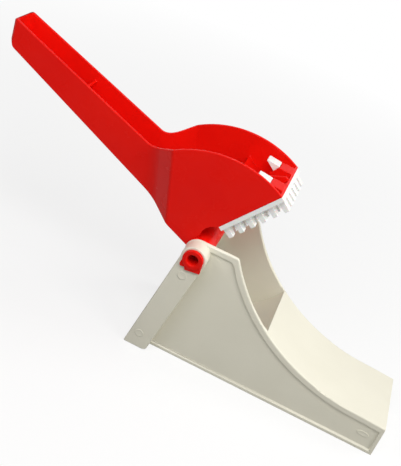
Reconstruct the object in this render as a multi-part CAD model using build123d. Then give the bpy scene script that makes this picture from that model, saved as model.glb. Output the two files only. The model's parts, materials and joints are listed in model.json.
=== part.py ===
from build123d import *
import os
from math import acos, cos, radians, sin, sqrt, tan

# French fry cutter: a base with a leaning blade grid at the back, and a lever whose
# scoop head swings down through the potato chamber and pushes the potato out of the grid.
# Millimetres. +X runs from the grid to the front foot, +Y is the width, +Z is up.
# The origin is on the table, at the middle of the rear frame's foot. The lever is open.

os.makedirs("parts", exist_ok=True)

# ---- grid ----------------------------------------------------------------
cell_count = 6
row_pitch = 12.7
line_pitch = 12.0
grid_tall = cell_count * row_pitch
grid_wide = cell_count * line_pitch
grid_near = 28.9
grid_far = grid_near + grid_tall
grid_centre = grid_near + grid_tall / 2
blade_thick = 0.6
blade_depth = 12.0
blade_back = 7.8
blade_front = blade_back - blade_depth
blade_bevel = 1.4
blade_edge = 0.15
blade_fit = 0.05
blade_seat = 1.6

# ---- rear frame and hinge ------------------------------------------------
lean = 10.0
foot_height = 25.9
hinge_z = grid_far + foot_height
hinge_x = hinge_z * tan(radians(lean))
frame_thick = 25.0
frame_face = frame_thick / 2
frame_foot_corner = 5.0
frame_back_corner = 1.5
frame_edge_bevel = 0.9
collar_radius = 13.2
beam_top = 16.0
beam_wall = 2.8
rest_width = 60.0
rest_root = 2.0
rest_lip = 0.7
stop_gap = 0.3
pocket_floor = 8.6
pocket_play = 0.2
pocket_margin = 3.5
window_wide = 35.5
foot_rail = 1.8
toe_short = 6.0

# ---- base ----------------------------------------------------------------
base_length = 270.3
chamber_half = 39.5
wall_thick = 1.9
rim_proud = 1.8
rim_width = 6.6
end_rim = 3.6
flange_high = 3.0
wall_outer = chamber_half + wall_thick + rim_proud
bead_crown = 0.15
bead_round = (wall_thick + rim_proud - bead_crown) / 2
ledge_lip = 0.09
corner_round = 4.0
column_wide = 13.8
frame_half = wall_outer + column_wide
wall_rise = 13.9
wall_top = hinge_z + wall_rise
panel_thick = 2.6
front_height = 38.5
front_draft = 1.8
sweep_radius = 206.0
shelf_long = 28.3
sweep_low_x = base_length - shelf_long
sweep_low_z = 40.0
ramp_x = 114.0
trough_start = -26.0
trough_past_grid = -60.0
join = 0.5

# ---- hinge pins ----------------------------------------------------------
pin_radius = 10.5
pin_running = 0.06
pin_bore = 5.4
pin_neck = 8.0
pin_neck_length = 16.0
pin_end_proud = 3.2
pin_lug_gap = 0.3
pin_lug_thick = 1.9
pin_lug_reach = 16.0
pin_lug_foot = 14.4
pin_lug_notch = 11.9
pin_lug_step = 1.0
pin_lug_angles = (-5.5, -45.5, -106.2, -117.0, -129.6, -139.5, -173.7)
barrel_radius = 11.9
barrel_gap = 0.5

# ---- lever ---------------------------------------------------------------
head_side_gap = 2.0
head_half = chamber_half - head_side_gap
head_wall = 2.6
head_floor = 2.8
head_short = 0.6
head_radius = grid_far - head_short
floor_offset = frame_face + stop_gap
floor_angle = 53.5
notch_along = 18.9
notch_out = 0.7
notch_radius = 17.7
back_angle = 155.8
back_offset = 7.4
crease_angle = 124.6
crease_slope = -76.5
sweep_gap = 3.0
neck_back = 88.0
neck_rise = 73.2
handle_reach = 266.0
end_low_over = 7.6
end_low_deep = 5.6
end_rim_over = 15.6
end_rim_deep = 25.1
handle_half_end = 16.4
handle_half_neck = 20.4
end_plan_round = 6.0
end_plan_play = 0.3
end_spread = 0.12
end_wall = 3.2
flare_at = 60.0
shoulder_at = 37.3
flare_round = 28.0
shoulder_round = 6.0
back_corner = 7.0
end_corner = 12.0
rim_corner = 2.5
elbow_round = 6.0
head_rib_at = 64.3
head_rib_thick = 2.4
head_rib_top = 45.9
gusset_root = 41.6
gusset_tip = 18.6
handle_rib_at = 188.7
handle_rib_thick = 2.6
handle_rib_top = 15.8
rib_root = 1.0

# ---- pusher --------------------------------------------------------------
row_clear = 3.55
line_clear = 2.0
pin_tall = row_pitch - 2 * row_clear
pin_wide = line_pitch - 2 * line_clear
pin_taper = 2.0
pusher_plate_thick = 4.6
pusher_pin_length = 11.3
plate_inset = 0.4
plate_lead = 2.6
pusher_half = head_half - plate_inset
hook_width = 12.0
hook_middles = (20.0, -20.0)
hook_play = 0.4
hook_stem = 3.0
hook_nose = 4.4
hook_lead = 11.9
hook_point = 1.0
hook_spring = 2.5
hook_at = 88.6
ledge_top = 26.9
ledge_wall = 1.6

# Longer than anything here, for cuts that run right through.
beyond = 2 * base_length


def grid_point(along, out):
    """World (x, z) of a point given down the rear frame from the hinge, and out of its back."""
    x = hinge_x - along * sin(radians(lean)) - out * cos(radians(lean))
    z = hinge_z - along * cos(radians(lean)) + out * sin(radians(lean))
    return (x, z)


def lever_point(along, out):
    """World (x, z) of a point given up the head's floor from the hinge, and out on its pin side."""
    t = radians(floor_angle)
    x = hinge_x + along * cos(t) + out * sin(t)
    z = hinge_z + along * sin(t) - out * cos(t)
    return (x, z)


def handle_point(along, out):
    """World (x, z) of a point given along the handle from the hinge, and out through its back."""
    t = radians(back_angle)
    x = hinge_x + along * cos(t) - out * sin(t)
    z = hinge_z + along * sin(t) + out * cos(t)
    return (x, z)


def turned(radius, angle):
    """World (x, z) of a point at a radius and an angle about the hinge."""
    x = hinge_x + radius * cos(radians(angle))
    z = hinge_z + radius * sin(radians(angle))
    return (x, z)


def slab(face_xz, low_y, high_y):
    """Extrude a face drawn in (x, z) between two widths."""
    solid = extrude(Plane.XZ * face_xz, amount=high_y - low_y)
    return Pos(0, high_y, 0) * solid


def ring_block(outer, low_y, high_y, inner=0.0):
    """A disc or ring about the hinge axis between two widths."""
    face = Pos(hinge_x, hinge_z) * Circle(outer)
    if inner:
        face -= Pos(hinge_x, hinge_z) * Circle(inner)
    return slab(face, low_y, high_y)


def polygon(*points):
    """A face from its corners in (x, z)."""
    return make_face(Polyline(*points, close=True))


def round_corner(face, point, radius):
    """Round the corner of a flat face nearest a point."""
    corner = min(face.vertices(), key=lambda v: (v.X - point[0]) ** 2 + (v.Y - point[1]) ** 2)
    return fillet(corner, radius)


def frame_block(near, far, inner, outer, half):
    """A block square to the rear frame: down from the hinge, out of the back, and half width."""
    low = [grid_point(near, inner), grid_point(far, inner)]
    high = [grid_point(far, outer), grid_point(near, outer)]
    return slab(polygon(*low, *high), -half, half)


def head_block(near, far, inner, outer, low_y, high_y):
    """A block square to the head's floor."""
    low = [lever_point(near, inner), lever_point(far, inner)]
    high = [lever_point(far, outer), lever_point(near, outer)]
    return slab(polygon(*low, *high), low_y, high_y)


# ---- base ----------------------------------------------------------------
def side_outline(inset=0.0, end_inset=0.0, foot_inset=0.0):
    """Side view of the walls, from the rear frame's middle plane to the front foot."""
    sweep_z = sweep_low_z + sweep_radius
    radius = sweep_radius + inset
    top = wall_top - inset
    corner_x = sweep_low_x - sqrt(radius ** 2 - (sweep_z - top) ** 2)
    front_top = (base_length - front_draft - end_inset, front_height - inset)
    foot = (base_length - end_inset, foot_inset)
    low = (sweep_low_x, sweep_low_z - inset)
    half_arc = acos((sweep_z - top) / radius) / 2
    middle = (sweep_low_x - radius * sin(half_arc), sweep_z - radius * cos(half_arc))
    edges = [
        Line((foot_inset, foot_inset), foot),
        Line(foot, front_top),
        Line(front_top, low),
        ThreePointArc(low, middle, (corner_x, top)),
        Line((corner_x, top), (hinge_x, top)),
        Line((hinge_x, top), (foot_inset, foot_inset)),
    ]
    return round_corner(make_face(edges), (corner_x, top), corner_round)


def rounded_wall():
    """The wall's outline with its end rounded about the hinge."""
    return side_outline() + Pos(hinge_x, hinge_z) * Circle(wall_rise)


def on_top_edge(edge, at):
    """True for an edge of the wall's rim, along the top and down the sweep to the foot."""
    middle = edge.center()
    over = middle.Z > hinge_z or middle.X > frame_thick and middle.Z > front_height - rim_proud
    return over and abs(middle.Y - at) < 0.01


def side_wall(side):
    """One wall: panel, rounded rim along its top, plain rim at its end, flange at its foot."""
    blank = slab(rounded_wall(), chamber_half, wall_outer)
    rim_edges = [e for e in blank.edges() if on_top_edge(e, wall_outer) or on_top_edge(e, chamber_half)]
    blank = fillet(rim_edges, bead_round)
    recess = side_outline(rim_width, end_rim, flange_high + rim_proud)
    wall = blank - slab(recess, chamber_half + wall_thick, wall_outer + join)
    ledge_z = flange_high + rim_proud
    ledge = [e for e in wall.edges() if abs(e.center().Z - ledge_z) < 0.01]
    ledge = [e for e in ledge if abs(e.center().Y - wall_outer) < 0.01]
    wall = chamfer(ledge, rim_proud - ledge_lip)
    return wall if side > 0 else mirror(wall, about=Plane.XZ)


def column(side):
    """One side of the rear frame, rounded at the top about the hinge, hollow from behind."""
    foot = hinge_z / cos(radians(lean))
    front_foot = frame_face / cos(radians(lean))
    profile = polygon(
        grid_point(0, frame_face),
        grid_point(0, -frame_face),
        (front_foot, 0),
        (-front_foot, 0),
    )
    profile = round_corner(profile, (front_foot, 0), frame_foot_corner)
    profile = round_corner(profile, (-front_foot, 0), frame_back_corner)
    profile = profile + Pos(hinge_x, hinge_z) * Circle(collar_radius)
    block = slab(profile, chamber_half, frame_half)
    edge_rim = block.edges().filter_by(lambda e: abs(e.center().Y - frame_half) < 0.01)
    block = chamfer(edge_rim, frame_edge_bevel)
    hollow_near = collar_radius + 3 * beam_wall
    hollow_half = column_wide / 2 - beam_wall
    hollow_far = foot - 3 * beam_wall
    hollow = frame_block(hollow_near, hollow_far, beam_wall - frame_face, frame_thick, hollow_half)
    hollow = Pos(0, (wall_outer + frame_half) / 2, 0) * hollow
    block = block - hollow
    return block if side > 0 else mirror(block, about=Plane.XZ)


def top_panel():
    """Curved top panel and front end wall, open underneath."""
    outline = side_outline()
    inside = side_outline(panel_thick, panel_thick, panel_thick)
    half = chamber_half + bead_round
    front_x = base_length - panel_thick
    below = Pos(front_x - base_length, 0) * Rectangle(2 * base_length - 2 * panel_thick, front_height / 2)
    band = outline - inside - below
    keep = Pos(ramp_x + base_length / 2, hinge_z / 2) * Rectangle(base_length, hinge_z)
    return slab(band & keep, -half, half)


def chamber_floor():
    """Trough floor that follows the head's tip round the hinge."""
    radius = head_radius + sweep_gap
    ring = Pos(hinge_x, hinge_z) * (Circle(radius + panel_thick) - Circle(radius))
    past_foot = grid_point(hinge_z + frame_thick, -floor_offset)
    start = turned(beyond, trough_start)
    window = polygon(turned(0, 0), start, turned(beyond, trough_past_grid), past_foot)
    return slab(ring & window & rounded_wall(), -chamber_half - join, chamber_half + join)


def grid_pocket(front):
    """Room in the rear frame for the blade frame, from a given plane back to the pocket's floor."""
    near = grid_near - pocket_margin
    far = grid_far + pocket_margin
    return frame_block(near, far, front, pocket_floor, chamber_half)


def cross_frame():
    """The rear frame between its columns: top beam with the lever's rest lip, and bottom beam."""
    seat = -frame_face
    foot_out = frame_face / cos(radians(lean))
    seat_foot = -seat / cos(radians(lean))
    top_front = grid_point(beam_top, seat)
    top_back = grid_point(beam_top, frame_face)
    body = polygon(top_front, (seat_foot, 0), (-foot_out, 0), top_back)
    beam = slab(body, -chamber_half - join, chamber_half + join)
    toe_end = hinge_z - toe_short
    toe_half = chamber_half + join
    toe = frame_block(grid_far - join, toe_end, seat - beam_wall, seat + join, toe_half)
    rest = slab(
        polygon(
            grid_point(beam_top + join, rest_root),
            grid_point(beam_top + join, frame_face),
            handle_point(barrel_radius - rest_lip, back_offset + stop_gap),
            handle_point(barrel_radius / 3, back_offset + stop_gap),
        ),
        -rest_width / 2,
        rest_width / 2,
    )
    rest = rest & frame_block(0, grid_near, -frame_face, frame_face, rest_width)
    rest = rest - ring_block(barrel_radius + barrel_gap, -rest_width, rest_width)
    pocket = grid_pocket(-frame_thick)
    window = frame_block(grid_near, grid_far, -frame_thick, frame_thick, grid_wide / 2)
    hollow_far = hinge_z - foot_rail
    hollow_near = grid_far + pocket_margin + beam_wall + join
    under = frame_block(hollow_near, hollow_far, -frame_thick, frame_face - panel_thick, window_wide)
    above_near = beam_top + beam_wall
    above_far = grid_near - pocket_margin - beam_wall + join
    behind = frame_block(above_near, above_far, seat + beam_wall, frame_thick, window_wide)
    return beam + toe + rest - pocket - window - under - behind


def hinge_bores():
    """Running bores for the two stub pins."""
    return ring_block(pin_radius + pin_running, -2 * frame_half, 2 * frame_half)


def base_body():
    """The whole cream moulding."""
    body = side_wall(1) + side_wall(-1)
    body += top_panel()
    body += chamber_floor()
    body += cross_frame()
    body += column(1) + column(-1)
    sweep_room = ring_block(head_radius + sweep_gap, -chamber_half, chamber_half)
    front = -frame_face - stop_gap / 2
    front_of_frame = frame_block(-beyond, beyond, -beyond, front, chamber_half)
    body -= sweep_room & front_of_frame
    body -= grid_pocket(front)
    body -= hinge_bores()
    return body


# ---- blades --------------------------------------------------------------
def cell_lines(pitch):
    """Places of the inner cell boundaries, about the grid's middle."""
    return [(i - cell_count / 2) * pitch for i in range(1, cell_count)]


def blade_blank(length):
    """A flat strip along X, cutting edge at -Y bevelled on both faces, thickness along Z."""
    half = blade_thick / 2
    edge = blade_edge / 2
    section = Polyline(
        (-half, blade_bevel),
        (-edge, 0),
        (edge, 0),
        (half, blade_bevel),
        (half, blade_depth),
        (-half, blade_depth),
        close=True,
    )
    strip = extrude(Plane.YZ * make_face(Rot(0, 0, 90) * section), amount=length / 2, both=True)
    return strip


def blade_notches(from_front, pitch):
    """Half-depth slots where the crossing blades lock in."""
    wide = blade_thick + 2 * blade_fit
    deep = blade_depth / 2 + blade_fit
    middle = deep / 2 if from_front else blade_depth - deep / 2
    cuts = [Pos(place, -middle, 0) * Box(wide, deep, 4 * blade_thick) for place in cell_lines(pitch)]
    return cuts


def grid_frame_plane():
    """Plane of the grid: X down the frame, Y back towards the chamber, Z along the width."""
    x, z = grid_point(grid_centre, blade_front)
    down = (-sin(radians(lean)), 0, -cos(radians(lean)))
    inward = (cos(radians(lean)), 0, -sin(radians(lean)))
    width = Vector(*down).cross(Vector(*inward))
    return Plane(origin=(x, 0, z), x_dir=down, z_dir=width)


def upright_blade(place):
    """A blade running down the frame, slotted from its cutting edge."""
    blank = blade_blank(grid_tall + 2 * blade_seat)
    for cut in blade_notches(True, row_pitch):
        blank = blank - cut
    return grid_frame_plane() * Pos(0, 0, place) * blank


def level_blade(place):
    """A blade running across the frame, slotted from its back edge."""
    blank = blade_blank(grid_wide + 2 * blade_seat)
    for cut in blade_notches(False, line_pitch):
        blank = blank - cut
    return grid_frame_plane() * Pos(place, 0, 0) * Rot(0, 90, 0) * blank


def blade_frame():
    """White frame with a seat cut for each blade end, open towards the chamber."""
    near = grid_near - pocket_margin + pocket_play
    far = grid_far + pocket_margin - pocket_play
    face = pusher_plate_thick + stop_gap - floor_offset
    half = chamber_half - pocket_play
    frame = frame_block(near, far, face, pocket_floor - blade_fit, half)
    frame -= frame_block(grid_near, grid_far, -frame_thick, frame_thick, grid_wide / 2)
    reach = blade_seat + blade_fit
    wide = blade_thick / 2 + blade_fit
    back = blade_back + blade_fit
    for place in cell_lines(line_pitch):
        seat = frame_block(grid_near - reach, grid_far + reach, face - join, back, wide)
        frame -= Pos(0, place, 0) * seat
    for place in cell_lines(row_pitch):
        at = grid_centre + place
        frame -= frame_block(at - wide, at + wide, face - join, back, grid_wide / 2 + reach)
    return frame


# ---- lever ---------------------------------------------------------------
crease = turned(head_radius, crease_angle)
tip_along = sqrt(head_radius ** 2 - floor_offset ** 2)
rim_neck = (hinge_x - neck_back, hinge_z + neck_rise)
rim_end = handle_point(handle_reach + end_rim_over, back_offset - end_rim_deep)
end_low = handle_point(handle_reach + end_low_over, back_offset - end_low_deep)
end_back = hinge_x - end_low[0]


def head_profile():
    """Side view of the lever, without the barrel."""
    tangent_crease = (sin(radians(crease_angle)), -cos(radians(crease_angle)))
    rim_slope = (rim_neck[0] - rim_end[0], rim_neck[1] - rim_end[1])
    back_end = handle_point(handle_reach, back_offset)
    root = barrel_radius / 3
    arc_mid = turned(head_radius, (crease_angle + floor_angle) / 2)
    tip = lever_point(tip_along, -floor_offset)
    edges = [
        Line(handle_point(root, back_offset), back_end),
        Line(back_end, end_low),
        Line(end_low, rim_end),
        Line(rim_end, rim_neck),
        Spline(rim_neck, crease, tangents=[rim_slope, tangent_crease]),
        ThreePointArc(crease, arc_mid, tip),
        Line(tip, lever_point(root, -floor_offset)),
        Line(lever_point(root, -floor_offset), (hinge_x, hinge_z)),
        Line((hinge_x, hinge_z), handle_point(root, back_offset)),
    ]
    face = make_face(edges)
    face = round_corner(face, back_end, back_corner)
    face = round_corner(face, end_low, end_corner)
    return round_corner(face, rim_end, rim_corner)


def plan_plane():
    """Plane square to the shoulder creases; X runs from the handle's end towards the head."""
    t = radians(crease_slope)
    normal = (cos(t), 0, sin(t))
    across = (-sin(t), 0, cos(t))
    return Plane(origin=(hinge_x, 0, hinge_z), x_dir=across, z_dir=normal)


def plan_outline():
    """The lever seen along the shoulder creases: narrow handle, shoulders, wide head."""
    end = -end_back
    flare = -flare_at
    shoulder = -shoulder_at
    reach = 1.5 * head_radius
    points = [
        (end, handle_half_end),
        (flare, handle_half_neck),
        (shoulder, head_half),
        (reach, head_half),
        (reach, -head_half),
        (shoulder, -head_half),
        (flare, -handle_half_neck),
        (end, -handle_half_end),
    ]
    face = make_face(Polyline(*points, close=True))
    inner = [v for v in face.vertices() if abs(v.X - flare) < 0.1]
    face = fillet(inner, flare_round)
    outer = [v for v in face.vertices() if abs(v.X - shoulder) < 0.1]
    return fillet(outer, shoulder_round)


def along_creases(face):
    """Extrude a plan face right through the lever."""
    return extrude(plan_plane() * face, amount=beyond, both=True)


def cavity_profile():
    """Side view of the open inside: handle channel and scoop."""
    floor_in = -floor_offset - head_floor
    back_in = back_offset - head_floor
    wedge = polygon(
        handle_point(beyond, back_in),
        meet(back_in, floor_in),
        lever_point(beyond, floor_in),
        (hinge_x, hinge_z + 2 * beyond),
    )
    wedge = round_corner(wedge, meet(back_in, floor_in), elbow_round)
    cap_x = hinge_x - end_back + end_wall
    cap = Pos(cap_x + beyond, hinge_z) * Rectangle(2 * beyond, 4 * beyond)
    return wedge & cap


def meet(back, floor):
    """Where a line along the handle and a line along the head's floor cross."""
    tb = radians(back_angle)
    tf = radians(floor_angle)
    nb = (-sin(tb), cos(tb))
    nf = (sin(tf), -cos(tf))
    det = nb[0] * nf[1] - nb[1] * nf[0]
    x = (back * nf[1] - nb[1] * floor) / det
    z = (nb[0] * floor - back * nf[0]) / det
    return (hinge_x + x, hinge_z + z)


def hook_ledge(middle):
    """Boss in the scoop that a hook's nose catches on, sloping down towards the tip."""
    near = hook_at - hook_spring - hook_play - ledge_wall
    far = hook_at + hook_stem + hook_nose + hook_play
    floor_in = -floor_offset - rib_root
    profile = polygon(
        lever_point(near, floor_in),
        lever_point(near, -ledge_top),
        lever_point(far, -ledge_top),
        lever_point(tip_along, -floor_offset - head_floor),
        lever_point(tip_along, floor_in),
    )
    half = hook_width / 2 + hook_play + ledge_wall
    return slab(profile, middle - half, middle + half)


def hook_slot(middle):
    """Slot through floor and boss for a hook's stem, with room for it to spring back."""
    near = hook_at - hook_spring - hook_play
    far = hook_at + hook_stem + hook_play
    half = hook_width / 2 + hook_play
    return head_block(near, far, -head_rib_top, 0, middle - half, middle + half)


def notch(radius):
    """Round cut-out at the head's foot that clears the rear frame's top beam."""
    x, z = lever_point(notch_along, notch_out)
    return slab(Pos(x, z) * Circle(radius), -wall_outer, wall_outer)


def end_plan(inset=0.0):
    """The handle seen from above, as a prism, with the corners of its end rounded."""
    end = hinge_x - end_back + inset
    half = handle_half_end + end_plan_play - inset
    wide = half + beyond * end_spread
    far = end + beyond
    face = make_face(Polyline((end, half), (far, wide), (far, -wide), (end, -half), close=True))
    corners = [v for v in face.vertices() if abs(v.X - end) < 0.1]
    return extrude(fillet(corners, end_plan_round - inset), amount=beyond)


def lever():
    """The whole red moulding."""
    body = slab(head_profile(), -head_half, head_half) & along_creases(plan_outline())
    body = body & end_plan()
    body -= notch(notch_radius)
    cavity = slab(cavity_profile(), -head_half, head_half)
    cavity = cavity & along_creases(offset(plan_outline(), amount=-head_wall))
    cavity = cavity & end_plan(end_wall)
    cavity -= notch(notch_radius + head_floor)
    solid = body - cavity
    solid += ring_block(barrel_radius, -chamber_half + barrel_gap, chamber_half - barrel_gap)
    solid += lever_ribs() & body
    for middle in hook_middles:
        solid += hook_ledge(middle) & body
        solid -= hook_slot(middle)
    solid -= ring_block(pin_neck, -frame_half, frame_half)
    return solid


def lever_ribs():
    """Cross rib in the handle, cross rib and centre gusset in the head."""
    floor_in = floor_offset + rib_root
    far = head_rib_at + head_rib_thick
    wide = head_half - rib_root
    cross = head_block(head_rib_at, far, -head_rib_top, -floor_in, -wide, wide)
    gusset = slab(
        polygon(
            lever_point(head_rib_at + rib_root, -floor_in),
            lever_point(head_rib_at + rib_root, -gusset_root),
            lever_point(tip_along, -gusset_tip),
            lever_point(tip_along, -floor_in),
        ),
        -head_rib_thick / 2,
        head_rib_thick / 2,
    )
    rib_far = handle_rib_at + handle_rib_thick
    stop = slab(
        polygon(
            handle_point(handle_rib_at, back_offset - rib_root),
            handle_point(rib_far, back_offset - rib_root),
            handle_point(rib_far, -handle_rib_top),
            handle_point(handle_rib_at, -handle_rib_top),
        ),
        rib_root - handle_half_neck,
        handle_half_neck - rib_root,
    )
    return cross + gusset + stop


# ---- pusher --------------------------------------------------------------
def pusher_plate():
    """White plate with square pins below and two snap hooks above."""
    near = grid_near + plate_lead
    far = tip_along - plate_inset
    top = pusher_plate_thick - floor_offset
    plate = head_block(near, far, -floor_offset, top, -pusher_half, pusher_half)
    plate += pin_rows() & pin_lines()
    for middle in hook_middles:
        plate += snap_hook(middle)
    return plate


def cell_middles(pitch):
    """Places of the cells' middles, about the grid's middle."""
    return [(i + 0.5 - cell_count / 2) * pitch for i in range(cell_count)]


def pin_section(middle, size):
    """Corners of a tapered pin's side view, root then tip, as (place, out) pairs."""
    root = pusher_plate_thick - floor_offset - join
    tip = root + join + pusher_pin_length
    slim = (tip - root) * tan(radians(pin_taper))
    wide = size / 2
    narrow = wide - slim
    roots = [(middle - wide, root), (middle + wide, root)]
    return roots + [(middle + narrow, tip), (middle - narrow, tip)]


def pin_rows():
    """Six tapered bars across the head, one over each row of cells."""
    bars = Part()
    for place in cell_middles(row_pitch):
        corners = [lever_point(along, out) for along, out in pin_section(grid_centre + place, pin_tall)]
        bars += slab(polygon(*corners), -grid_wide / 2, grid_wide / 2)
    return bars


def pin_lines():
    """Six tapered bars down the head, one over each line of cells; each crossing is a pin."""
    x, z = lever_point(0, 0)
    t = radians(floor_angle)
    section = Plane(origin=(x, 0, z), x_dir=(0, -1, 0), z_dir=(cos(t), 0, sin(t)))
    bars = Part()
    for place in cell_middles(line_pitch):
        face = make_face(Polyline(*pin_section(place, pin_wide), close=True))
        bars += extrude(section * face, amount=grid_far)
    return bars


def snap_hook(middle):
    """A springy stem through the floor slot with a slanted nose over the catch ledge."""
    catch = ledge_top + hook_play / 2
    profile = polygon(
        lever_point(hook_at, join - floor_offset),
        lever_point(hook_at, -catch - hook_lead),
        lever_point(hook_at + hook_point, -catch - hook_lead),
        lever_point(hook_at + hook_stem + hook_nose, -catch - 2 * hook_play),
        lever_point(hook_at + hook_stem + hook_nose, -catch),
        lever_point(hook_at + hook_stem, -catch),
        lever_point(hook_at + hook_stem, join - floor_offset),
    )
    return slab(profile, middle - hook_width / 2, middle + hook_width / 2)


# ---- hinge pins ----------------------------------------------------------
def hinge_pin(side):
    """Hollow stub pin: neck in the lever's barrel, body in the collar, lug on the outer end."""
    end = frame_half + pin_end_proud
    shoulder = chamber_half - barrel_gap
    body = ring_block(pin_radius, shoulder, end)
    neck = ring_block(pin_neck, shoulder - pin_neck_length, shoulder + join)
    ear = (pin_radius, pin_lug_reach, pin_lug_foot)
    tail = (pin_lug_notch, pin_lug_reach - pin_lug_step, pin_lug_foot, pin_radius - pin_lug_step)
    lug_face = polygon(*[turned(radius, angle) for radius, angle in zip(ear + tail, pin_lug_angles)])
    lug = slab(lug_face, frame_half + pin_lug_gap, frame_half + pin_lug_gap + pin_lug_thick)
    pin = body + neck + lug
    pin -= ring_block(pin_bore, 0, 2 * frame_half)
    return pin if side > 0 else mirror(pin, about=Plane.XZ)


def save(node, shape):
    """Write one node as its own file."""
    export_step(shape, "parts/" + node + ".step")
    box = shape.bounding_box()
    print(node, round(shape.volume), [round(v, 1) for v in (*box.min, *box.max)])


save("base_body", base_body())
save("lever", lever())
save("pusher_plate", pusher_plate())
save("hinge_pin_near", hinge_pin(-1))
save("hinge_pin_far", hinge_pin(1))
save("blade_frame", blade_frame())
for number, place in enumerate(cell_lines(line_pitch), start=1):
    save("upright_blade_" + str(number), upright_blade(place))
for number, place in enumerate(cell_lines(row_pitch), start=1):
    save("level_blade_" + str(number), level_blade(place))
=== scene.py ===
# %% [markdown]
# # A french fry cutter, dressed for its picture
# The cutter has two moving groups: a cream base that stands on the table with a steel
# blade grid in its leaning rear frame, and a red lever whose scoop head carries a white
# plate of square pins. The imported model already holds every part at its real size, so this
# lesson only rounds the moulded edges, adds the small marks a mould leaves, and gives
# each plastic and the steel a finish. All lengths are in metres.

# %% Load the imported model
import json

import bpy
from math import cos, hypot, pi, radians, sin
from mathutils import Matrix, Vector


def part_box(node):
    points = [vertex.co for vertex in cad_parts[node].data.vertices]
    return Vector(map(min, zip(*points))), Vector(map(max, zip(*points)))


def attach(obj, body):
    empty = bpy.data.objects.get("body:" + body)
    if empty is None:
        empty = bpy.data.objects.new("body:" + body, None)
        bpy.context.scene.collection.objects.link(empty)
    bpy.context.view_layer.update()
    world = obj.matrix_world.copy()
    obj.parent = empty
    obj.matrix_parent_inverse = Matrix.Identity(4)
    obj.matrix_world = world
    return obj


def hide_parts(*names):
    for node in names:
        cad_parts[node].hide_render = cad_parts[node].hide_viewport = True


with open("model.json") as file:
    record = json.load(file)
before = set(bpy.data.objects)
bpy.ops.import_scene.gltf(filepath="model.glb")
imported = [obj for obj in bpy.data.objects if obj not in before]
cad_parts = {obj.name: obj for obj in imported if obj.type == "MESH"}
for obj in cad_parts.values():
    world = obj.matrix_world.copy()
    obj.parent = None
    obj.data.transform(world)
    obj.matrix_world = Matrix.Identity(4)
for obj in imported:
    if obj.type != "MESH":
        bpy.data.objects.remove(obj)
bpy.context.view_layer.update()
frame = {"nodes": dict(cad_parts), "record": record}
nodes = frame["nodes"]

# %% [markdown]
# ## Colours as written
# A scene can be shown as film would show it, with its bright tones softened, or plainly.
# The plain Standard view is chosen, because a colour then shows about as it is written.

# %% Plain colours
bpy.context.scene.view_settings.view_transform = "Standard"
print("view:", bpy.context.scene.view_settings.view_transform)

# %% [markdown]
# ## The camera
# A product picture has one fixed viewpoint: here it is in front of the near wall, above
# the cutter and tilted to one side. The camera could be turned by three angles in a row,
# but their order is easy to get wrong. So two angles give the direction from the cutter to
# the camera and a third gives the tilt, and the camera's axes are worked out from them and
# set side by side: right, up and back. The lens is to the sensor as the focus, counted in
# pixels, is to the picture's longer side.

# %% Camera
azimuth = radians(6.38)
elevation = radians(31.81)
tilt = radians(22.54)
camera_place = (0.08731, -0.66089, 0.5385)
focus_px = 761.95
longer_side_px = 466
sensor_mm = 36
back = Vector((sin(azimuth) * cos(elevation), -cos(azimuth) * cos(elevation), sin(elevation)))
level_right = Vector((cos(azimuth), sin(azimuth), 0))
level_up = back.cross(level_right)
right = cos(tilt) * level_right + sin(tilt) * level_up
up = cos(tilt) * level_up - sin(tilt) * level_right
camera_data = bpy.data.cameras.new("camera")
camera_data.lens = sensor_mm * focus_px / longer_side_px
camera = bpy.data.objects.new("camera", camera_data)
bpy.context.scene.collection.objects.link(camera)
turn = Matrix((right, up, back)).transposed().to_4x4()
camera.matrix_world = Matrix.Translation(camera_place) @ turn
bpy.context.scene.camera = camera
print("lens in mm:", round(camera_data.lens, 1))

# %% [markdown]
# ## Lamps
# Shiny plastic mirrors its lamps, and a small lamp would burn hard white spots into it, so
# each lamp is a large soft square. Lamps set evenly all round would make every wall look
# alike. Here the front lamp hangs high and near, so a wall is brighter at its top than at
# its foot. The main lamp and the back lamp stand to the right, and the back one reaches
# into the chamber behind the near wall. The handle lamp stands to the left and lights the
# long handle, and the low lamp, a little warm, shines in under the raised head.


# %% A helper for soft lamps
def soft_lamp(name, place, aim, size, power, tint):
    """A square lamp that points at a place."""
    bpy.ops.object.select_all(action="DESELECT")
    bpy.ops.object.light_add(type="AREA", location=place)
    lamp = bpy.context.object
    lamp.name = name
    lamp.data.size = size
    lamp.data.energy = power
    lamp.data.color = tint
    direction = Vector(aim) - Vector(place)
    lamp.rotation_euler = direction.to_track_quat("-Z", "Y").to_euler()
    print(name, "watts:", power)


# %% Five lamps
soft_lamp(
    "main_lamp", place=(0.78, -0.42, 0.85), aim=(0.10, 0, 0.08),
    size=0.5, power=3.5, tint=(1, 0.98, 0.95),
)
soft_lamp(
    "back_lamp", place=(0.85, 0.30, 0.75), aim=(0.06, 0, 0.08),
    size=0.5, power=4.1, tint=(1, 0.99, 0.96),
)
soft_lamp(
    "front_lamp", place=(0.05, -0.42, 0.78), aim=(0.02, 0, 0.10),
    size=0.4, power=2.9, tint=(1, 1, 0.99),
)
soft_lamp(
    "handle_lamp", place=(-0.45, -0.50, 0.60), aim=(-0.15, 0, 0.22),
    size=0.35, power=1.3, tint=(1, 0.99, 0.98),
)
soft_lamp(
    "low_lamp", place=(0.95, -0.32, 0.34), aim=(0.10, 0, 0.09),
    size=0.35, power=1.0, tint=(1, 0.94, 0.84),
)

# %% [markdown]
# ## The room
# The room does two jobs: it fills the shadows with a little light, and it is the white
# that is seen and mirrored behind the cutter. One strength can't do both, because a room
# that looks white would flood the plastic. So it depends on the ray: one from the camera,
# a mirror or glass meets plain white, and all others meet a dim, slightly blue room.


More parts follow.
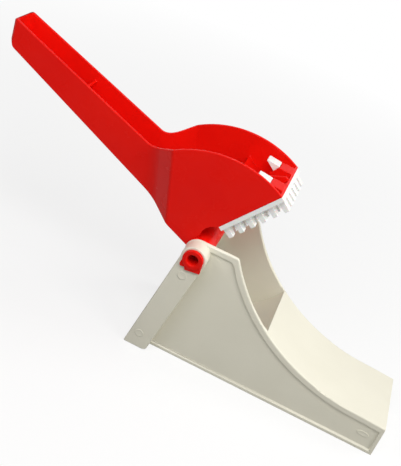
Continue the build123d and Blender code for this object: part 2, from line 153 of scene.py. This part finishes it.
# %% Helpers for node trees
def add_node(tree, kind, **settings):
    """Add a node and set its inputs, each named with _ in place of a space."""
    made = tree.nodes.new(kind)
    for socket, value in settings.items():
        made.inputs[socket.replace("_", " ")].default_value = value
    return made


def link(tree, *pairs):
    """Join sockets in pairs, each from an output to an input."""
    for source, target in pairs:
        tree.links.new(source, target)


def seen_ray(tree):
    """An output that is 1 for a ray from the camera, a mirror or glass, and 0 for others."""
    path = tree.nodes.new("ShaderNodeLightPath")
    seen = path.outputs["Is Camera Ray"]
    for kind in ("Is Glossy Ray", "Is Transmission Ray"):
        either = tree.nodes.new("ShaderNodeMath")
        either.operation = "MAXIMUM"
        link(tree, (seen, either.inputs[0]), (path.outputs[kind], either.inputs[1]))
        seen = either.outputs[0]
    return seen


# %% The room's light and its white
world = bpy.data.worlds.new("studio")
bpy.context.scene.world = world
world.use_nodes = True
sky = world.node_tree
dim_room = sky.nodes["Background"]
dim_room.inputs["Color"].default_value = (0.95, 0.97, 1, 1)
dim_room.inputs["Strength"].default_value = 0.12
white_room = add_node(sky, "ShaderNodeBackground", Color=(1, 1, 1, 1), Strength=1)
choose = sky.nodes.new("ShaderNodeMixShader")
link(
    sky,
    (seen_ray(sky), choose.inputs[0]),
    (dim_room.outputs[0], choose.inputs[1]),
    (white_room.outputs[0], choose.inputs[2]),
    (choose.outputs[0], sky.nodes["World Output"].inputs[0]),
)
print("room nodes:", len(sky.nodes))

# %% [markdown]
# ## The floor
# The cutter stands on a sheet of white paper, which takes its soft shadow. A plain sheet
# would end in a grey horizon, and would throw up so much light that the foot of the walls
# looked lit from below. So the paper glows where it is seen: in part near the cutter, where
# the shadow lies, and fully farther off, so that no edge shows. And it is white only to be
# seen: the light that it throws back up is that of grey card.


# %% Helpers for materials
def main_shader(material):
    """The node that holds a material's own settings."""
    return material.node_tree.nodes["Principled BSDF"]


def new_material(name):
    """A node material: returns it with its tree and its main shader."""
    made = bpy.data.materials.new(name)
    made.use_nodes = True
    return made, made.node_tree, main_shader(made)


# %% White paper
paper, tree, shader = new_material("white_paper")
shader.inputs["Roughness"].default_value = 0.9
shader.inputs["Specular IOR Level"].default_value = 0.1
seen = seen_ray(tree)
tone = tree.nodes.new("ShaderNodeMix")
tone.data_type = "RGBA"
tone.inputs["A"].default_value = (0.28, 0.28, 0.265, 1)
tone.inputs["B"].default_value = (0.93, 0.93, 0.93, 1)
link(tree, (seen, tone.inputs["Factor"]), (tone.outputs["Result"], shader.inputs["Base Color"]))

# %% Its glow, which grows with the distance from the cutter
place = tree.nodes.new("ShaderNodeTexCoord")
away = tree.nodes.new("ShaderNodeVectorMath")
away.operation = "LENGTH"
fade = add_node(tree, "ShaderNodeMapRange", From_Min=0.25, From_Max=1.1, To_Min=0.76, To_Max=1)
share = tree.nodes.new("ShaderNodeMath")
share.operation = "MULTIPLY"
glow = add_node(tree, "ShaderNodeEmission", Color=(1, 1, 1, 1))
blend = tree.nodes.new("ShaderNodeMixShader")
link(
    tree,
    (place.outputs["Object"], away.inputs[0]),
    (away.outputs["Value"], fade.inputs["Value"]),
    (seen, share.inputs[0]),
    (fade.outputs["Result"], share.inputs[1]),
    (share.outputs[0], blend.inputs[0]),
    (shader.outputs[0], blend.inputs[1]),
    (glow.outputs[0], blend.inputs[2]),
    (blend.outputs[0], tree.nodes["Material Output"].inputs[0]),
)
print("paper nodes:", len(tree.nodes))

# %% The sheet, a hair below the cutter's foot
floor_size = 6
floor_gap = 0.0002
bpy.ops.object.select_all(action="DESELECT")
bpy.ops.mesh.primitive_plane_add(size=floor_size, location=(0, 0, -floor_gap))
floor = bpy.context.object
floor.name = "floor"
floor.data.materials.append(paper)
print("floor side in m:", floor_size)

# %% [markdown]
# ## Moulded plastics
# Injection-moulded plastic is one colour all through, but never quite even: the melt flows
# in faint streaks, handling polishes some places, and the tool steel leaves a fine grain.
# A plain colour would look like paint, and an image of plastic would have to be wrapped
# round every curve. So each plastic mixes two near colours by a soft noise, varies its roughness by
# another, and has a very low bump. The edge node softens how light turns over a sharp
# edge, which is how the base gets its rounded look. The red mirrors less than the others,
# or pale reflections would wash out its deep colour, and the white lets a little light in
# under its surface.


# %% Helpers for uneven finishes
def colour_ramp(tree, first, last, start=0, stop=1):
    """A ramp that turns a noise into a colour between two near ones."""
    made = tree.nodes.new("ShaderNodeValToRGB")
    for element, position, colour in zip(made.color_ramp.elements, (start, stop), (first, last)):
        element.position = position
        element.color = (*colour, 1)
    return made


def cover(tree, shader, tint, gloss, relief):
    """Give the main shader its colour, its roughness and its relief."""
    link(
        tree,
        (tint.outputs["Color"], shader.inputs["Base Color"]),
        (gloss.outputs["Result"], shader.inputs["Roughness"]),
        (relief.outputs["Normal"], shader.inputs["Normal"]),
    )


# %% A helper for plastics
grain_depth = 0.0002
edge_samples = 8


def moulded(name, dark, light, smooth, rough, grain, bump, soft_edge):
    """Plastic with flow marks in colour, uneven gloss, a fine grain and soft edges."""
    made, tree, shader = new_material(name)
    place = tree.nodes.new("ShaderNodeTexCoord")
    flow = add_node(tree, "ShaderNodeTexNoise", Scale=14, Detail=3, Distortion=0.6)
    wear = add_node(tree, "ShaderNodeTexNoise", Scale=45, Detail=6)
    fine = add_node(tree, "ShaderNodeTexNoise", Scale=grain, Detail=2)
    for noise in (flow, wear, fine):
        link(tree, (place.outputs["Object"], noise.inputs["Vector"]))
    tint = colour_ramp(tree, dark, light, start=0.3, stop=0.7)
    gloss = add_node(
        tree, "ShaderNodeMapRange", From_Min=0.3, From_Max=0.7, To_Min=smooth, To_Max=rough
    )
    relief = add_node(tree, "ShaderNodeBump", Strength=bump, Distance=grain_depth)
    edge = add_node(tree, "ShaderNodeBevel", Radius=soft_edge)
    edge.samples = edge_samples
    link(
        tree,
        (flow.outputs["Fac"], tint.inputs["Fac"]),
        (wear.outputs["Fac"], gloss.inputs["Value"]),
        (fine.outputs["Fac"], relief.inputs["Height"]),
        (edge.outputs["Normal"], relief.inputs["Normal"]),
    )
    cover(tree, shader, tint, gloss, relief)
    print(name, "nodes:", len(tree.nodes))
    return made


# %% The three plastics
cream = moulded(
    "cream_plastic", dark=(0.81, 0.785, 0.665), light=(0.85, 0.825, 0.705),
    smooth=0.36, rough=0.48, grain=900, bump=0.08, soft_edge=0.0009,
)
red = moulded(
    "red_plastic", dark=(0.82, 0.006, 0.003), light=(0.87, 0.009, 0.004),
    smooth=0.2, rough=0.3, grain=700, bump=0.05, soft_edge=0.0004,
)
main_shader(red).inputs["Specular IOR Level"].default_value = 0.1
white = moulded(
    "white_plastic", dark=(0.88, 0.88, 0.87), light=(0.93, 0.93, 0.92),
    smooth=0.3, rough=0.42, grain=900, bump=0.06, soft_edge=0.0002,
)
main_shader(white).inputs["Subsurface Weight"].default_value = 0.15
main_shader(white).inputs["Subsurface Scale"].default_value = 0.004

# %% [markdown]
# ## Blade steel
# The blades are cut from brushed strip, so fine lines run along each one. The lines could
# be cut into the mesh, but they are far too fine for that: a noise that is stretched far
# along the strip gives them, and a second, larger noise gives faint stains.


# %% A helper for steel
def brushed(name, stretch):
    """Brushed steel whose lines run along the axis with the smallest stretch."""
    made, tree, shader = new_material(name)
    shader.inputs["Metallic"].default_value = 1
    place = tree.nodes.new("ShaderNodeTexCoord")
    lines_map = add_node(tree, "ShaderNodeMapping", Scale=stretch)
    lines = add_node(tree, "ShaderNodeTexNoise", Scale=900, Detail=4)
    stain = add_node(tree, "ShaderNodeTexNoise", Scale=60)
    tint = colour_ramp(tree, (0.62, 0.63, 0.64), (0.78, 0.79, 0.80))
    gloss = add_node(tree, "ShaderNodeMapRange", To_Min=0.18, To_Max=0.42)
    relief = add_node(tree, "ShaderNodeBump", Strength=0.15, Distance=0.0001)
    link(
        tree,
        (place.outputs["Object"], lines_map.inputs["Vector"]),
        (place.outputs["Object"], stain.inputs["Vector"]),
        (lines_map.outputs["Vector"], lines.inputs["Vector"]),
        (stain.outputs["Fac"], tint.inputs["Fac"]),
        (lines.outputs["Fac"], gloss.inputs["Value"]),
        (lines.outputs["Fac"], relief.inputs["Height"]),
    )
    cover(tree, shader, tint, gloss, relief)
    print(name, "nodes:", len(tree.nodes))
    return made


# %% Steel for the two sets of blades
upright_steel = brushed("upright_blade_steel", stretch=(1, 1, 0.02))
level_steel = brushed("level_blade_steel", stretch=(1, 0.02, 1))

# %% [markdown]
# ## Rounded copies of the mouldings
# A real moulding has no knife-sharp edge, and the thin curve along each edge is what
# catches the light. The edges could be rounded in the model itself, but that costs it many
# triangles. So each moulding is copied from the model, the copy's loose triangles are merged
# into flat faces, and a bevel rounds its edges. A bevel can shrink itself until it fits the
# shortest edge, but then it is too fine to see, so here it keeps its full width. That has a
# price: beside some short edges, mostly on the lever, faces cross, and corners that end up
# outside the part's own box have to be pulled back. The base is the exception: its hollow
# curve has edges too short for a bevel, so they stay sharp and are left to the edge node.

# %% Limits for the rounded copies
same_place = 0.00001
flat_below = radians(0.4)
edge_above = radians(40)
smooth_below = radians(35)
edge_segments = 3


# %% Helpers that choose what an operator acts on
def only(thing):
    """Select one object alone and make it active."""
    bpy.ops.object.select_all(action="DESELECT")
    thing.select_set(True)
    bpy.context.view_layer.objects.active = thing


def nothing_selected(made):
    """Clear every vertex, edge and face of a mesh, so that code can choose its own."""
    only(made)
    bpy.ops.object.mode_set(mode="EDIT")
    bpy.ops.mesh.select_all(action="DESELECT")
    bpy.ops.object.mode_set(mode="OBJECT")


# %% Copy a node, and round the copy's edges
def merged_copy(node, name):
    """A copy of a node, its loose triangles merged into flat faces."""
    made = bpy.data.objects.new(name, nodes[node].data.copy())
    bpy.context.scene.collection.objects.link(made)
    only(made)
    bpy.ops.object.mode_set(mode="EDIT")
    bpy.ops.mesh.select_all(action="SELECT")
    bpy.ops.mesh.remove_doubles(threshold=same_place)
    bpy.ops.mesh.dissolve_limited(angle_limit=flat_below)
    bpy.ops.object.mode_set(mode="OBJECT")
    return made


def keep_inside(made, box):
    """Pull back any corner that the rounding pushed past the node's own box."""
    moved = 0
    for vertex in made.data.vertices:
        place = [min(max(v, low), high) for v, low, high in zip(vertex.co, *box)]
        if (Vector(place) - vertex.co).length > same_place:
            moved += 1
        vertex.co = place
    print(made.name, "corners pulled back:", moved)


def round_edges(made, node, width):
    """Round the sharp edges of a node's copy by a width."""
    bevel = made.modifiers.new("edge_round", "BEVEL")
    bevel.width = width
    bevel.segments = edge_segments
    bevel.limit_method = "ANGLE"
    bevel.angle_limit = edge_above
    bevel.use_clamp_overlap = False
    bpy.ops.object.modifier_apply(modifier=bevel.name)
    keep_inside(made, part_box(node))


# %% [markdown]
# ## The soft ring on each hinge pin
# The outer end of each red pin is a hollow boss with a lug round it, and it looks like a
# soft ring: its bore opens in a wide curve, and its outside turns over in a narrow one,
# because the lug begins only a millimetre below. One bevel gives both the same width, so
# the two circles are found by their distance from the hinge and rounded one by one.

# %% Sizes of the ring
hinge = frame["record"]["behaviour"]["joints"][0]["pos_m"]
ring_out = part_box("hinge_pin_far")[1][1]
ring_radius = 0.0105
bore_radius = 0.0054
on_circle = 0.0005
on_face = 0.00005
ring_segments = 5
print("ring faces at y in mm:", round(-1000 * ring_out, 2), round(1000 * ring_out, 2))


# %% Round one circle, then the ring
def round_circle(made, ring_face, radius, width):
    """Round the circle of one radius about the hinge on a pin's outer face."""
    nothing_selected(made)
    chosen = 0
    for edge in made.data.edges:
        ends = [made.data.vertices[i] for i in edge.vertices]
        flush = all(abs(end.co.y - ring_face) < on_face for end in ends)
        reach = [hypot(end.co.x - hinge[0], end.co.z - hinge[2]) for end in ends]
        if flush and all(abs(r - radius) < on_circle for r in reach):
            edge.select = True
            chosen += 1
            for end in ends:
                end.select = True
    bpy.ops.object.mode_set(mode="EDIT")
    bpy.ops.mesh.select_mode(type="EDGE")
    bpy.ops.mesh.bevel(offset=width, segments=ring_segments, affect="EDGES")
    bpy.ops.object.mode_set(mode="OBJECT")
    print(made.name, "circle edges:", chosen)


def round_ring(made, ring_face):
    """Round the outside a little and the bore's mouth more."""
    round_circle(made, ring_face, ring_radius, width=0.0008)
    round_circle(made, ring_face, bore_radius, width=0.0020)


# %% [markdown]
# ## A copy that stands for its node
# A rounded copy has to shine like one smooth moulding. Smooth shading all over would make
# its flat walls look like pillows, and flat shading would show every facet of a curve. So
# only shallow angles are smoothed, and weighted normals let the large faces stay flat. The
# copy then rides with its node's body, and the node itself is hidden behind it.


# %% A rounded copy in its plastic
def rounded_copy(node, name, body, material, width=0, ring_face=None):
    """Copy a node, round what it is told to, and let the copy stand for the node."""
    made = merged_copy(node, name)
    if ring_face is not None:
        round_ring(made, ring_face)
    if width > 0:
        round_edges(made, node, width)
    bpy.ops.object.shade_smooth_by_angle(angle=smooth_below)
    even = made.modifiers.new("even_normals", "WEIGHTED_NORMAL")
    even.keep_sharp = True
    bpy.ops.object.modifier_apply(modifier=even.name)
    made.data.materials.clear()
    made.data.materials.append(material)
    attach(made, body)
    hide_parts(node)
    print(name, "faces:", len(made.data.polygons))


# %% [markdown]
# ## The mouldings
# Six parts of the cutter are plastic. One width of rounding for all would be simpler, but
# they differ: the lever is what the hand holds, so its edges are the roundest, and the
# plate's small square pins have fine ones. The hinge pins turn in their bores with almost
# no room: a wider curve would also fill the corner below the lug and rub on the bore's rim.

# %% Six rounded copies
rounded_copy("base_body", "base_moulding", "base", cream)
rounded_copy("lever", "lever_moulding", "lever", red, width=0.0008)
rounded_copy("pusher_plate", "pusher_moulding", "lever", white, width=0.0002)
for side, ring_face in (("near", -ring_out), ("far", ring_out)):
    rounded_copy(
        f"hinge_pin_{side}", f"hinge_pin_{side}_round", "lever", red,
        width=0.0002, ring_face=ring_face,
    )
rounded_copy("blade_frame", "blade_frame_moulding", "base", white, width=0.0003)

# %% [markdown]
# ## Marks that the mould leaves
# Where the mould's ejector pins push a part out, each leaves a shallow circle with a fine
# raised edge. A plain oval pad near the foot is left in the same way. They could be cut
# into the wall, but a thin disc sunk into it, with a dished face, gives the same edge
# and leaves the wall's own mesh alone.

# %% A dished mark on a near face
disc_sides = 64
facing_near = -0.9


def mould_mark(name, x, z, face_y, half_long, half_high, proud, lip):
    """A thin disc sunk in a wall that faces -Y, its face dished to leave a fine edge."""
    dish = 0.7 * proud
    edge_width = 0.4 * proud
    bpy.ops.object.select_all(action="DESELECT")
    bpy.ops.mesh.primitive_cylinder_add(
        vertices=disc_sides, radius=1, depth=1, rotation=(pi / 2, 0, 0), location=(x, face_y, z)
    )
    made = bpy.context.object
    made.name = name
    made.scale = (half_long, half_high, 2 * proud)
    bpy.ops.object.transform_apply(location=True, rotation=True, scale=True)
    nothing_selected(made)
    for face in made.data.polygons:
        face.select = face.normal.y < facing_near
    bpy.ops.object.mode_set(mode="EDIT")
    bpy.ops.mesh.select_mode(type="FACE")
    bpy.ops.mesh.inset(thickness=lip, depth=0)
    bpy.ops.transform.translate(value=(0, dish, 0))
    bpy.ops.object.mode_set(mode="OBJECT")
    soft = made.modifiers.new("edge_round", "BEVEL")
    soft.width = edge_width
    soft.segments = 2
    soft.limit_method = "ANGLE"
    bpy.ops.object.modifier_apply(modifier=soft.name)
    bpy.ops.object.shade_smooth_by_angle(angle=smooth_below)
    made.data.materials.append(cream)
    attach(made, "base")
    print(name, "faces:", len(made.data.polygons))


# %% Two ejector circles and the oval pad
column_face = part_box("base_body")[0][1]
recess_face = -0.0414
circle = {"half_long": 0.0047, "half_high": 0.0047, "proud": 0.00025, "lip": 0.0007}
pad = {"half_long": 0.0065, "half_high": 0.0032, "proud": 0.0004, "lip": 0.0009}
mould_mark("ejector_mark_upper", 0.0188, 0.1081, column_face, **circle)
mould_mark("ejector_mark_lower", 0.0005, 0.0184, column_face, **circle)
mould_mark("oval_pad", 0.2519, 0.0195, recess_face, **pad)

# %% [markdown]
# ## Steel on the blades
# The ten blades are flat strips with ground edges, and the model already shows them as they
# are, so they need no copy: each keeps its own mesh and only takes the steel. The upright
# ones are brushed up and down, the level ones across.

# %% Steel on ten blades
blades = [name for name in nodes if "_blade_" in name]
for name in blades:
    steel = upright_steel if name.startswith("upright") else level_steel
    nodes[name].data.materials.clear()
    nodes[name].data.materials.append(steel)
print("blades in steel:", len(blades))
